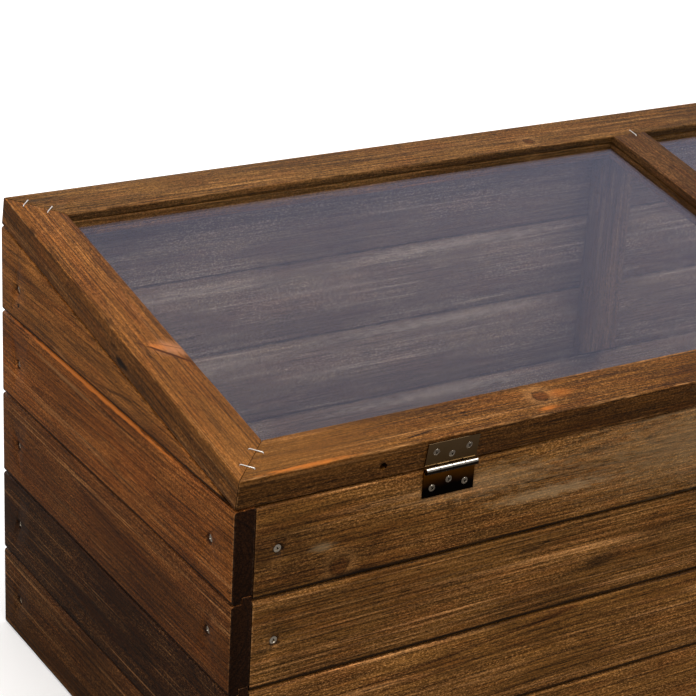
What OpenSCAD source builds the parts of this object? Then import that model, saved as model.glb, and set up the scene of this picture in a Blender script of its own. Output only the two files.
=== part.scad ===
// Cold frame: a bottomless wooden box of lapped boards, its sides sloping down to a low front,
// closed by a glazed lid that is hinged along the low front edge.
// +X runs along the front, +Y points to the back and +Z is up.
// The origin is on the ground, in the middle of the box's footprint.

/* [Box] */
// Length of the box along its front
box_length = 1370; // [900:10:1700]
// Depth of the box from front to back
box_depth = 450; // [360:5:560]
// Height that one board covers
board_cover = 83; // [66:1:100]
// Thickness of the wall boards
board_thick = 19; // [16:0.5:25]
// Height of the tongue that laps behind the board above
board_lap = 6; // [3:0.5:9]
// Radius of the eased edges on a board's outer face
board_ease = 3; // [1:0.25:4]
// Gap between two boards at their outer seam
seam_gap = 0.8; // [0.2:0.1:2]
// Gap between a board's end and the board it butts against
butt_gap = 0.4; // [0.1:0.1:1]

/* [Posts and battens] */
// Side of the square corner posts
post_side = 44; // [36:1:52]
// Width of the upright battens in the middle of the long walls
batten_width = 44; // [30:1:60]
// Thickness of those battens
batten_thick = 18.5; // [18:0.5:25]

/* [Lid] */
// Width of the lid's rails, seen from above
rail_width = 44; // [36:1:56]
// Thickness of the lid's rails and bar
rail_thick = 28; // [22:0.5:36]
// Radius of the eased edges of the rails
rail_ease = 1.6; // [0.5:0.1:3]
// Width of the bar in the middle of the lid
bar_width = 42; // [30:1:56]
// Gap under the lid when it is shut
lid_gap = 1.4; // [0.8:0.1:3]
// Thickness of a pane
pane_thick = 3; // [2:0.5:5]
// Gap left at each joint of the lid's frame, along the rail or bar
joint_gap = 0.07; // [0.05:0.01:0.3]
// Depth of a pane's upper face below the top of the rails
pane_drop = 8.5; // [5:0.5:12]
// Depth of the groove that holds the panes
groove_depth = 8; // [5:0.5:12]
// Room between a pane and its groove, above it and at its edge
pane_room = 0.4; // [0.2:0.1:1]

/* [Hinges] */
// Distance of a hinge's middle from the end of the box
hinge_from_end = 198; // [100:5:350]
// Length of a hinge
hinge_length = 50; // [40:1:75]
// Width of a leaf from the pin's axis to its edge
leaf_width = 25.5; // [22:0.5:26]
// Thickness of a leaf
leaf_thick = 1.2; // [1:0.1:1.6]
// Outer radius of the knuckles
knuckle_r = 3.1; // [2.8:0.1:3.6]
// Radius of the hinge pin
pin_r = 1.5; // [1.2:0.05:1.8]
// Running clearance of the pin in its knuckles, on the radius
pin_clear = 0.05; // [0.02:0.01:0.1]
// Gap between two knuckles, and between a knuckle and the wood of the other side
knuckle_gap = 0.3; // [0.3:0.05:0.6]

/* [Fasteners] */
// Shank radius of the screws that hold the boards
wall_screw_r = 2; // [1.5:0.1:2.4]
// Head radius of those screws
wall_head_r = 3.8; // [3:0.1:4.4]
// Depth of the screw heads below the wood's face
head_sunk = 1.6; // [0.5:0.1:2.5]
// Radius of the dished wood around a sunk head
dish_r = 5.8; // [4.8:0.1:7]
// Length of the screws in the hinges
hinge_screw_length = 14; // [10:1:16]
// Shank radius of the hinge screws
hinge_screw_r = 1.6; // [1.2:0.1:1.8]
// Head radius of the hinge screws
hinge_head_r = 3.5; // [3:0.1:3.8]
// Clearance around a screw or a staple leg
fastener_clear = 0.05; // [0.02:0.01:0.1]
// Length of a staple's crown
staple_crown = 13; // [10:0.5:16]
// Length of a staple's legs
staple_leg = 12; // [8:1:16]
// Width of the staple wire
staple_wire = 1.2; // [0.8:0.1:1.6]
// Height that a staple's crown stands above the wood
staple_proud = 0.9; // [0.5:0.1:1.2]

/* [Hidden] */

// Rows of boards, counted from the ground: the back wall is one board higher than the front
front_rows = 4;
back_rows = front_rows + 1;
front_height = front_rows * board_cover;
slope = atan((back_rows - front_rows) * board_cover / box_depth);
lid_depth = box_depth / cos(slope);

half_length = box_length / 2;
half_depth = box_depth / 2;
inner_half_length = half_length - board_thick;
inner_half_depth = half_depth - board_thick;

// The lap's step is halfway through a board, and a tongue stays clear of the board it laps
lap_step = board_thick / 2;
lap_clear = 0.3;
// Straight pieces in each eased edge
ease_steps = 5;
// Length cut off the wedge board where it would run out to nothing
wedge_tip = 12;
// Room past a piece for a cut that goes right through it
past = 1;

// A batten holds the three uppermost rows of its wall, and its foot is just above a tongue
batten_rows = 3;
batten_foot_gap = 10;

// Where the screws stand: at the middle of the posts along the long walls, and a little nearer
// the corner along the side walls; the wedge board has one screw, near its high end
long_wall_screw_in = board_thick + post_side / 2;
side_screw_from_front = long_wall_screw_in - 1.5;
side_screw_from_back = long_wall_screw_in - 5;
wedge_screw_up = 33;
// The screws' tips stop short of the screws that cross them in a post, and of a batten's face
screw_bite = min(post_side / 2 - wall_screw_r - 2.5, batten_thick - 1);
wall_screw_length = board_thick - head_sunk + screw_bite;
screw_tip = 6;
screw_tip_r = 0.4;
cross_width = 1.1;
wall_cross_depth = 1.3;
hinge_cross_depth = 1.6;

// The panes lie on the lower face of the groove
groove_height = pane_thick + pane_room;
groove_foot = rail_thick - pane_drop - pane_thick;
pane_hold = groove_depth - pane_room;

// A stray blind hole in the face of the lid's front rail
stray_hole_in = 132.5;
stray_hole_up = 11.4;
stray_hole_r = 3.6;
stray_hole_depth = 12;

// Staples lie square across each mitre, and one holds each end of the middle bar
mitre_staples_in = [15.5, 32];
bar_staple_aside = 5;

// The pin's axis lies in front of the wood by a knuckle and its gap, where the planes of the
// two leaves' backs meet at the same distance from it
stand_off = knuckle_r + knuckle_gap;
axis_y = -half_depth - stand_off;
axis_z = front_height - stand_off * tan(slope / 2);
knuckle_count = 4;
knuckle_pitch = hinge_length / knuckle_count;
// A leaf starts a little past the axis, and is cut back where the other leaf's root turns
leaf_start = 0.5;
root_sweep = sqrt(stand_off * stand_off + leaf_start * leaf_start) + knuckle_gap;
leaf_relief = sqrt(root_sweep * root_sweep - (stand_off - leaf_thick) * (stand_off - leaf_thick));
pin_head_r = 2.2;
pin_head_thick = 0.5;
pin_head_gap = 0.1;
// Places of a leaf's three screws: along the leaf, and from the axis
outer_screw_x = hinge_length / 2 - 9;
outer_screw_down = leaf_width - 8.2;
middle_screw_down = leaf_width - 13;
leaf_screws = [
    [-outer_screw_x, outer_screw_down], [0, middle_screw_down], [outer_screw_x, outer_screw_down]
];
hinge_head_cone = 1.9;
hinge_head_dome = 0.8;
dome_steps = 4;

function seam(row) = row * board_cover;
function row_middle(row) = (row - 0.5) * board_cover;
function arc(x, y, r, from, to) =
    [for (i = [0:ease_steps]) let (turn = from + (to - from) * i / ease_steps)
        [x + r * cos(turn), y + r * sin(turn)]];

// Cross-section of a wall board: across is from its inner to its outer face, up is its height
function board_outline(row, tongue) =
    let (
        foot = row == 1 ? 0 : seam(row - 1) + seam_gap / 2,
        inner_foot = row == 1 ? 0 : seam(row - 1) + board_lap,
        head = tongue ? seam(row) - seam_gap / 2 : seam(row),
        inner_head = tongue ? seam(row) + board_lap - lap_clear : seam(row),
        face = board_thick - board_ease
    )
    concat(
        [[0, inner_foot], [lap_step, inner_foot], [lap_step, foot]],
        arc(face, foot + board_ease, board_ease, -90, 0),
        arc(face, head - board_ease, board_ease, 0, 90),
        [[lap_step - lap_clear, head], [lap_step - lap_clear, inner_head], [0, inner_head]]
    );

// The lid's slope, as a frame: X as the box, Y up the slope from the lid's front face, Z square to it
module on_slope(lift = 0) {
    translate([0, -half_depth, front_height]) rotate([slope, 0, 0]) translate([0, 0, lift]) children();
}

// Everything that would stand above the box's sloping top
module above_slope() {
    on_slope() translate([-box_length, -box_depth, 0]) cube([2 * box_length, 3 * box_depth, box_depth]);
}

// Places on the four walls: Z points out of the wall, and the wood's face is at zero
module on_front(x, z) {
    translate([x, -half_depth, z]) rotate([90, 0, 0]) children();
}
module on_back(x, z) {
    translate([x, half_depth, z]) rotate([-90, 0, 0]) children();
}
module on_left(y, z) {
    translate([-half_length, y, z]) rotate([0, -90, 0]) children();
}
module on_right(y, z) {
    translate([half_length, y, z]) rotate([0, 90, 0]) children();
}

// A screw with its head's rim at zero, grown all round by the given room
module screw_shape(head_r, cone, shank_r, length, room) {
    rotate_extrude($fn = 32)
        polygon([
            [0, -length - room], [screw_tip_r + room, -length - room], [shank_r + room, screw_tip - length],
            [shank_r + room, -cone], [head_r + room, 0], [0, 0]
        ]);
}
module screw_cross(depth, top) {
    for (turn = [0, 90])
        rotate([0, 0, turn])
            translate([-cross_width * 2, -cross_width / 2, top - depth])
                cube([cross_width * 4, cross_width, depth + past]);
}

// A countersunk wood screw, with its head sunk below the face
module wall_screw() {
    cone = wall_head_r - wall_screw_r;
    translate([0, 0, -head_sunk]) difference() {
        screw_shape(wall_head_r, cone, wall_screw_r, wall_screw_length, 0);
        screw_cross(wall_cross_depth, 0);
    }
}
module wall_screw_room() {
    cone = wall_head_r - wall_screw_r;
    translate([0, 0, -head_sunk])
        screw_shape(wall_head_r, cone, wall_screw_r, wall_screw_length, fastener_clear);
    translate([0, 0, -head_sunk - fastener_clear])
        cylinder(h = head_sunk + fastener_clear, r1 = wall_head_r + fastener_clear, r2 = dish_r, $fn = 32);
    cylinder(h = past, r = dish_r, $fn = 32);
}

// Every screw place of one wall
module at_front_screws() {
    for (row = [1:front_rows])
        for (x = [-half_length + long_wall_screw_in, half_length - long_wall_screw_in])
            on_front(x, row_middle(row)) children();
    for (row = [front_rows - batten_rows + 1:front_rows])
        on_front(0, row_middle(row)) children();
}
module at_back_screws() {
    for (row = [1:back_rows])
        for (x = [-half_length + long_wall_screw_in, half_length - long_wall_screw_in])
            on_back(x, row_middle(row)) children();
    for (row = [back_rows - batten_rows + 1:back_rows])
        on_back(0, row_middle(row)) children();
}
module at_left_screws() {
    for (row = [1:front_rows])
        for (y = [-half_depth + side_screw_from_front, half_depth - side_screw_from_back])
            on_left(y, row_middle(row)) children();
    on_left(half_depth - side_screw_from_back, front_height + wedge_screw_up) children();
}
module at_right_screws() {
    mirror([1, 0, 0]) at_left_screws() children();
}

// Boards of the long walls run between the side boards
module long_board(row, tongue) {
    length = 2 * (inner_half_length - butt_gap);
    translate([0, inner_half_depth, 0])
        rotate([90, 0, 90])
            linear_extrude(length, center = true)
                polygon(board_outline(row, tongue));
}
module front_board(row) {
    color("#6b4423") difference() {
        mirror([0, 1, 0]) long_board(row, row < front_rows);
        at_front_screws() wall_screw_room();
        if (row == front_rows)
            at_box_leaf_screws() hinge_screw_room();
    }
}
module back_board(row) {
    color("#644022") difference() {
        long_board(row, row < back_rows);
        at_back_screws() wall_screw_room();
        above_slope();
    }
}

// Boards of the side walls run the whole depth and show their ends at the front
module side_board(row) {
    translate([inner_half_length, 0, 0])
        rotate([90, 0, 0])
            linear_extrude(box_depth, center = true)
                polygon(board_outline(row, row < back_rows));
}
module right_board(row) {
    color("#6e4524") difference() {
        side_board(row);
        at_right_screws() wall_screw_room();
        above_slope();
    }
}
module left_board(row) {
    color("#6e4524") difference() {
        mirror([1, 0, 0]) side_board(row);
        at_left_screws() wall_screw_room();
        above_slope();
    }
}

// The top board of a side wall tapers to nothing at the front, where its feather end is cut off
module wedge_end_cut() {
    translate([-box_length, -half_depth - past, front_height])
        cube([2 * box_length, wedge_tip + past, board_cover]);
}
module left_wedge_board() {
    difference() {
        left_board(back_rows);
        wedge_end_cut();
    }
}
module right_wedge_board() {
    difference() {
        right_board(back_rows);
        wedge_end_cut();
    }
}

// Corner posts stand inside the walls, from the ground to the slope
module post(side_x, side_y) {
    middle = post_side / 2;
    color("#5c3a1f") difference() {
        translate([side_x * (inner_half_length - middle), side_y * (inner_half_depth - middle), 0])
            translate([-middle, -middle, 0])
                cube([post_side, post_side, seam(back_rows)]);
        at_front_screws() wall_screw_room();
        at_back_screws() wall_screw_room();
        at_left_screws() wall_screw_room();
        at_right_screws() wall_screw_room();
        above_slope();
    }
}

// A batten in the middle of a long wall holds its boards flat
module batten(rows) {
    foot = seam(rows - batten_rows) + board_lap + batten_foot_gap;
    translate([-batten_width / 2, inner_half_depth - batten_thick, foot])
        cube([batten_width, batten_thick, seam(rows) - foot]);
}
module front_batten() {
    color("#5c3a1f") difference() {
        mirror([0, 1, 0]) batten(front_rows);
        at_front_screws() wall_screw_room();
    }
}
module back_batten() {
    color("#5c3a1f") difference() {
        batten(back_rows);
        at_back_screws() wall_screw_room();
        above_slope();
    }
}

module front_screws() {
    color("#8d8478") at_front_screws() wall_screw();
}
module back_screws() {
    color("#8d8478") at_back_screws() wall_screw();
}
module left_screws() {
    color("#8d8478") at_left_screws() wall_screw();
}
module right_screws() {
    color("#8d8478") at_right_screws() wall_screw();
}

// Cross-section of a rail: across is from its outer to its inner face, where the pane's groove is
function rail_outline(width, groove_at_start) =
    let (
        lip = width - groove_depth,
        groove_head = groove_foot + groove_height,
        start = groove_at_start
            ? [[0, groove_head], [groove_depth, groove_head], [groove_depth, groove_foot], [0, groove_foot]]
            : []
    )
    concat(
        arc(rail_ease, rail_ease, rail_ease, 180, 270),
        arc(width - rail_ease, rail_ease, rail_ease, -90, 0),
        [[width, groove_foot], [lip, groove_foot], [lip, groove_head], [width, groove_head]],
        arc(width - rail_ease, rail_thick - rail_ease, rail_ease, 0, 90),
        arc(rail_ease, rail_thick - rail_ease, rail_ease, 90, 180),
        start
    );

// A rail along X with its outer face at zero, mitred at both ends
module rail(length) {
    end = length / 2 - joint_gap;
    intersection() {
        rotate([90, 0, 90])
            linear_extrude(length, center = true)
                polygon(rail_outline(rail_width, false));
        linear_extrude(rail_thick)
            polygon([
                [-end, 0], [end, 0],
                [end - rail_width, rail_width], [rail_width - end, rail_width]
            ]);
    }
}

// Staple places on the lid: X along the crown, Z out of the wood
module at_corner_staples() {
    for (x = [-1, 1])
        for (y = [-1, 1])
            for (in = mitre_staples_in)
                translate([x * (half_length - in), lid_depth / 2 + y * (lid_depth / 2 - in), rail_thick])
                    rotate([0, 0, -45 * x * y]) children();
}
module at_bar_staples() {
    for (y = [rail_width, lid_depth - rail_width])
        translate([bar_staple_aside, y, rail_thick]) rotate([0, 0, 90]) children();
}
module staple_legs(room) {
    for (end = [-1, 1])
        translate([end * (staple_crown - staple_wire) / 2, 0, 0])
            translate([-staple_wire / 2 - room, -staple_wire / 2 - room, -staple_leg - room])
                cube([staple_wire + 2 * room, staple_wire + 2 * room, staple_leg + room]);
}
module staple() {
    staple_legs(0);
    translate([-staple_crown / 2, -staple_wire / 2, 0]) cube([staple_crown, staple_wire, staple_proud]);
}
module lid_cuts() {
    at_corner_staples() staple_legs(fastener_clear);
    at_bar_staples() staple_legs(fastener_clear);
}

module lid_front_rail() {
    color("#8a5a30") difference() {
        on_slope(lid_gap) difference() {
            rail(box_length);
            lid_cuts();
            translate([stray_hole_in - half_length, stray_hole_depth, stray_hole_up])
                rotate([90, 0, 0])
                    cylinder(h = stray_hole_depth + past, r = stray_hole_r, $fn = 24);
        }
        at_lid_leaf_screws() hinge_screw_room();
    }
}
module lid_back_rail() {
    color("#8a5a30") on_slope(lid_gap) difference() {
        translate([0, lid_depth, 0]) mirror([0, 1, 0]) rail(box_length);
        lid_cuts();
    }
}
module lid_left_rail() {
    color("#8a5a30") on_slope(lid_gap) difference() {
        translate([-half_length, lid_depth / 2, 0]) rotate([0, 0, -90]) rail(lid_depth);
        lid_cuts();
    }
}
module lid_right_rail() {
    color("#8a5a30") on_slope(lid_gap) difference() {
        translate([half_length, lid_depth / 2, 0]) rotate([0, 0, 90]) rail(lid_depth);
        lid_cuts();
    }
}
module lid_middle_bar() {
    length = lid_depth - 2 * (rail_width + joint_gap);
    color("#8a5a30") on_slope(lid_gap) difference() {
        translate([-bar_width / 2, lid_depth / 2, 0])
            rotate([90, 0, 0])
                linear_extrude(length, center = true)
                    polygon(rail_outline(bar_width, true));
        lid_cuts();
    }
}

// A pane's edges stand in the grooves of the rails and the bar
module pane() {
    low_x = -half_length + rail_width - pane_hold;
    high_x = -bar_width / 2 + pane_hold;
    low_y = rail_width - pane_hold;
    color("#8c93b0", 0.35)
        on_slope(lid_gap)
            translate([low_x, low_y, groove_foot])
                cube([high_x - low_x, lid_depth - 2 * low_y, pane_thick]);
}
module left_pane() {
    pane();
}
module right_pane() {
    mirror([1, 0, 0]) pane();
}

module corner_staples() {
    color("#d8dadd") on_slope(lid_gap) at_corner_staples() staple();
}
module bar_staples() {
    color("#d8dadd") on_slope(lid_gap) at_bar_staples() staple();
}

// A hinge's own frame: X along the pin, the box leaf hangs down and the lid leaf stands up
module at_hinge(side) {
    translate([side * (half_length - hinge_from_end), axis_y, axis_z]) children();
}
module as_lid_leaf() {
    rotate([slope, 0, 0]) mirror([0, 0, 1]) children();
}
module at_leaf_screws() {
    for (place = leaf_screws)
        translate([place[0], stand_off - leaf_thick, -place[1]]) rotate([90, 0, 0]) children();
}
module at_box_leaf_screws() {
    for (side = [-1, 1])
        at_hinge(side) at_leaf_screws() children();
}
module at_lid_leaf_screws() {
    for (side = [-1, 1])
        at_hinge(side) as_lid_leaf() at_leaf_screws() children();
}

// An oval-headed screw: a low dome stands on the rim of its countersunk head
module hinge_screw() {
    difference() {
        union() {
            screw_shape(hinge_head_r, hinge_head_cone, hinge_screw_r, hinge_screw_length, 0);
            rotate_extrude($fn = 32)
                polygon(concat(
                    [[0, 0]],
                    [for (i = [0:dome_steps]) let (part = i / dome_steps)
                        [hinge_head_r * (1 - part), hinge_head_dome * (1 - (1 - part) * (1 - part))]]
                ));
        }
        screw_cross(hinge_cross_depth, hinge_head_dome);
    }
}
module hinge_screw_room() {
    screw_shape(hinge_head_r, hinge_head_cone, hinge_screw_r, hinge_screw_length, fastener_clear);
}

// A leaf with the knuckles from first, every second one; the other knuckles' places are cut back
module leaf(first) {
    difference() {
        union() {
            translate([-hinge_length / 2, stand_off - leaf_thick, -leaf_width])
                cube([hinge_length, leaf_thick, leaf_width - leaf_start]);
            for (i = [first, first + 2])
                translate([(i - knuckle_count / 2) * knuckle_pitch + knuckle_gap / 2, 0, 0])
                    rotate([0, 90, 0])
                        cylinder(h = knuckle_pitch - knuckle_gap, r = knuckle_r, $fn = 48);
        }
        for (i = [1 - first, 3 - first])
            translate([(i - knuckle_count / 2) * knuckle_pitch - knuckle_gap / 2, 0, -leaf_relief])
                cube([knuckle_pitch + knuckle_gap, stand_off + past, leaf_relief + past]);
        translate([-hinge_length, 0, 0])
            rotate([0, 90, 0])
                cylinder(h = 2 * hinge_length, r = pin_r + pin_clear, $fn = 32);
        at_leaf_screws() hinge_screw_room();
    }
}
module box_leaf(side) {
    color("#b9bab4") at_hinge(side) leaf(0);
}
module lid_leaf(side) {
    color("#b9bab4") at_hinge(side) as_lid_leaf() leaf(1);
}
module hinge_pin(side) {
    span = hinge_length + 2 * pin_head_gap;
    color("#d0d0cc") at_hinge(side) rotate([0, 90, 0]) {
        cylinder(h = span, r = pin_r, center = true, $fn = 32);
        for (end = [-1, 1])
            translate([0, 0, end * (span + pin_head_thick) / 2])
                cylinder(h = pin_head_thick, r = pin_head_r, center = true, $fn = 32);
    }
}
module left_hinge_box_leaf() {
    box_leaf(-1);
}
module left_hinge_lid_leaf() {
    lid_leaf(-1);
}
module left_hinge_pin() {
    hinge_pin(-1);
}
module right_hinge_box_leaf() {
    box_leaf(1);
}
module right_hinge_lid_leaf() {
    lid_leaf(1);
}
module right_hinge_pin() {
    hinge_pin(1);
}
module hinge_box_screws() {
    color("#c9c9c4") at_box_leaf_screws() hinge_screw();
}
module hinge_lid_screws() {
    color("#c9c9c4") at_lid_leaf_screws() hinge_screw();
}

front_board(1);  // front_board_1
front_board(2);  // front_board_2
front_board(3);  // front_board_3
front_board(4);  // front_board_4
back_board(1);  // back_board_1
back_board(2);  // back_board_2
back_board(3);  // back_board_3
back_board(4);  // back_board_4
back_board(5);  // back_board_5
left_board(1);  // left_board_1
left_board(2);  // left_board_2
left_board(3);  // left_board_3
left_board(4);  // left_board_4
left_wedge_board();
right_board(1);  // right_board_1
right_board(2);  // right_board_2
right_board(3);  // right_board_3
right_board(4);  // right_board_4
right_wedge_board();
post(-1, -1);  // front_left_post
post(1, -1);  // front_right_post
post(-1, 1);  // back_left_post
post(1, 1);  // back_right_post
front_batten();
back_batten();
front_screws();
back_screws();
left_screws();
right_screws();
lid_front_rail();
lid_back_rail();
lid_left_rail();
lid_right_rail();
lid_middle_bar();
left_pane();
right_pane();
corner_staples();
bar_staples();
left_hinge_box_leaf();
left_hinge_lid_leaf();
left_hinge_pin();
right_hinge_box_leaf();
right_hinge_lid_leaf();
right_hinge_pin();
hinge_box_screws();
hinge_lid_screws();
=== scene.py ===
# %% [markdown]
# # A cold frame in stained pine
#
# A cold frame is a bottomless box of boards with a glazed lid. This lesson takes its packed
# CAD model, gives every board its own timber, bends the staples, rolls the hinges and turns
# the screws, and lights it all softly on a pale floor.

# %% Load the frame
import math
import random

import bpy
from mathutils import Matrix, Vector


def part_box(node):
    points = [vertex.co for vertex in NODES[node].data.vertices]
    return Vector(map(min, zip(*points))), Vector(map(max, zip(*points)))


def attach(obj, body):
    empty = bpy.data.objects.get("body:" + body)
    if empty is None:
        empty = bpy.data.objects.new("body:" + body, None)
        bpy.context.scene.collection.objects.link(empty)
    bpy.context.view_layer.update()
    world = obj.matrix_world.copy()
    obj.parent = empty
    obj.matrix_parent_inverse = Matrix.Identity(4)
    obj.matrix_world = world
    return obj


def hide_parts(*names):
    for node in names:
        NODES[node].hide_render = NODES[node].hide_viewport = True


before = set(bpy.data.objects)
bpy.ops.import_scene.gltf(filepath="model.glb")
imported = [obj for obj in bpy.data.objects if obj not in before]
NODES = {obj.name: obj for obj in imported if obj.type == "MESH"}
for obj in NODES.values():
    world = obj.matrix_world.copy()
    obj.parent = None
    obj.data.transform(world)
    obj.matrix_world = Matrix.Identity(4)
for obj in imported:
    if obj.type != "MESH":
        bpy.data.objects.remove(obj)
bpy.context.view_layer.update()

# %% [markdown]
# ## The sizes that several cells share
#
# All lengths are metres. The lid lies on the slope of the side walls, so it is handy to have
# one function that turns "so far from the left end, so far up the slope, so far above the
# lid's underside" into a place in the frame. The lid starts at the front wall's top edge.

# %% Sizes
HALF_LONG, HALF_DEEP = -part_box("left_board_1")[0].x, -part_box("front_board_1")[0].y
FRONT_TOP, BACK_TOP = 0.332, 0.415
BOARD_COVER, RAIL_THICK, LID_GAP = 0.083, 0.028, 0.0014
SLOPE = math.atan((BACK_TOP - FRONT_TOP) / (2 * HALF_DEEP))
UP_SLOPE = Vector((0, math.cos(SLOPE), math.sin(SLOPE)))
OFF_LID = Vector((0, -math.sin(SLOPE), math.cos(SLOPE)))
LID_LONG = 2 * HALF_DEEP / math.cos(SLOPE)


def on_lid(in_from_left, up, above):
    """A place on the lid, from its left end, its low edge and its underside."""
    foot = Vector((in_from_left - HALF_LONG, -HALF_DEEP, FRONT_TOP))
    return foot + UP_SLOPE * up + OFF_LID * (above + LID_GAP)


print(f"slope {math.degrees(SLOPE):.2f} degrees, lid {LID_LONG:.4f} m up the slope")

# %% [markdown]
# ## The camera
#
# It stands to the left of the low front wall, a little above the lid, with a long lens. The
# order of the turns is: heading about Z, tilt about X, then a small roll about the view line.

# %% Camera
camera = bpy.data.objects.new("camera", bpy.data.cameras.new("camera"))
bpy.context.scene.collection.objects.link(camera)
heading, look_down, roll = math.radians(32.63), math.radians(23.02), math.radians(3.29)
turn = (Matrix.Rotation(-heading, 3, "Z")
        @ Matrix.Rotation(math.pi / 2 - look_down, 3, "X")
        @ Matrix.Rotation(roll, 3, "Z"))
past_end, ahead, height = 0.7301, 1.5128, 1.1025
stands_at = (-HALF_LONG - past_end, -ahead, height)
camera.matrix_world = Matrix.Translation(stands_at) @ turn.to_4x4()
camera.data.sensor_width = 36
camera.data.lens = 112.24
camera.data.dof.use_dof = False
bpy.context.scene.camera = camera
bpy.context.scene.view_settings.view_transform = "Standard"
print("camera at", [round(c, 3) for c in camera.location], "lens", camera.data.lens)

# %% [markdown]
# ## Floor and light
#
# The floor is a wide pale sheet. The key is a sun lamp with a wide angle, which lights a
# scene as evenly as a big soft panel far away. A second sun fills from the left. Four small
# panels help them: one warms the near lid corner and is kept out of the panes' mirror image,
# one lights the back rail from behind, one puts a glint on the hinge, and a cool one is what
# the panes mirror. The floor looks white to the camera but throws only a little light back,
# as a floor some way from the lamps does, so the walls keep their depth.

# %% Floor


def node_material(name):
    """An empty node material: (material, node tree, output node)."""
    material = bpy.data.materials.new(name)
    material.use_nodes = True
    tree = material.node_tree
    tree.nodes.clear()
    return material, tree, tree.nodes.new("ShaderNodeOutputMaterial")


def add(tree, kind, **settings):
    """Add a node of this kind and set its properties."""
    made = tree.nodes.new(kind)
    for key, value in settings.items():
        setattr(made, key, value)
    return made


def by_camera_ray(tree, for_lamps, for_camera, out):
    """One shader for what the camera sees and another for all other rays."""
    either, path = add(tree, "ShaderNodeMixShader"), add(tree, "ShaderNodeLightPath")
    tree.links.new(path.outputs["Is Camera Ray"], either.inputs[0])
    tree.links.new(for_lamps.outputs[0], either.inputs[1])
    tree.links.new(for_camera.outputs[0], either.inputs[2])
    tree.links.new(either.outputs[0], out.inputs[0])


bpy.ops.object.select_all(action="DESELECT")
bpy.ops.mesh.primitive_grid_add(x_subdivisions=4, y_subdivisions=4, size=40)
floor = bpy.context.object
floor.name = "floor"
paper, tree, out = node_material("floor_paper")
white, grey = add(tree, "ShaderNodeBsdfPrincipled"), add(tree, "ShaderNodeBsdfDiffuse")
white.inputs["Base Color"].default_value = (0.96, 0.955, 0.95, 1)
white.inputs["Roughness"].default_value = 1.0
white.inputs["Emission Color"].default_value = (1, 1, 1, 1)
white.inputs["Emission Strength"].default_value = 0.35
grey.inputs["Color"].default_value = (0.22, 0.21, 0.20, 1)
by_camera_ray(tree, grey, white, out)
floor.data.materials.append(paper)


def lamp(name, kind, place, aim, strength, colour, **settings):
    """A lamp at place, aimed at aim, that the camera itself doesn't see."""
    data = bpy.data.lights.new(name, kind)
    data.energy, data.color = strength, colour
    for key, value in settings.items():
        setattr(data, key, value)
    holder = bpy.data.objects.new(name, data)
    bpy.context.scene.collection.objects.link(holder)
    line = Vector(aim) - Vector(place)
    holder.matrix_world = (Matrix.Translation(place)
                           @ line.to_track_quat("-Z", "Y").to_matrix().to_4x4())
    holder.visible_camera = False
    return holder


lamp("key_sun", "SUN", (0.9, -0.75, 3.0), (0, 0, 0), 1.5, (1.0, 0.975, 0.94), angle=0.75)
lamp("fill_sun", "SUN", (-3.0, -0.3, 1.9), (0, 0, 0), 0.7, (1.0, 0.98, 0.96), angle=1.2)
corner_panel = lamp("corner_panel", "AREA", (-0.95, -0.55, 1.35), (-0.6, -0.15, 0.35), 4.5,
                    (1.0, 0.97, 0.93), shape="DISK", size=0.7)
corner_panel.visible_glossy = corner_panel.visible_transmission = False
lamp("back_panel", "AREA", (-0.2, 2.4, 0.7), (0, 0.2, 0.25), 14.0, (1.0, 0.98, 0.96),
     shape="RECTANGLE", size=2.4, size_y=0.8)
lamp("glint", "AREA", (0.35, -2.3, 1.5), (-0.45, -0.2, 0.35), 5.0, (1.0, 0.98, 0.95),
     shape="DISK", size=0.3)
lamp("cool_panel", "AREA", (1.9, 2.3, 2.9), (0, 0, 0.4), 9.0, (0.34, 0.44, 1.0),
     shape="RECTANGLE", size=3.4, size_y=2.6)

world = bpy.data.worlds.new("white_room")
bpy.context.scene.world = world
world.use_nodes = True
sky = world.node_tree
sky.nodes.clear()
seen, lit = add(sky, "ShaderNodeBackground"), add(sky, "ShaderNodeBackground")
seen.inputs["Color"].default_value = (1, 1, 1, 1)
lit.inputs["Color"].default_value = (0.32, 0.30, 0.29, 1)
by_camera_ray(sky, lit, seen, add(sky, "ShaderNodeOutputWorld"))

# %% [markdown]
# ## Wiring nodes from code
#
# A shader graph is easier to read as formulas. `Wires` adds the maths, mixing and noise nodes
# to one tree, and every method gives back the socket that holds its answer. `new_group` makes
# a node group with named inputs and outputs, which is how one effect serves many materials.

# %% Wires
SOCKETS = {"float": "NodeSocketFloat", "vector": "NodeSocketVector", "color": "NodeSocketColor"}


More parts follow.
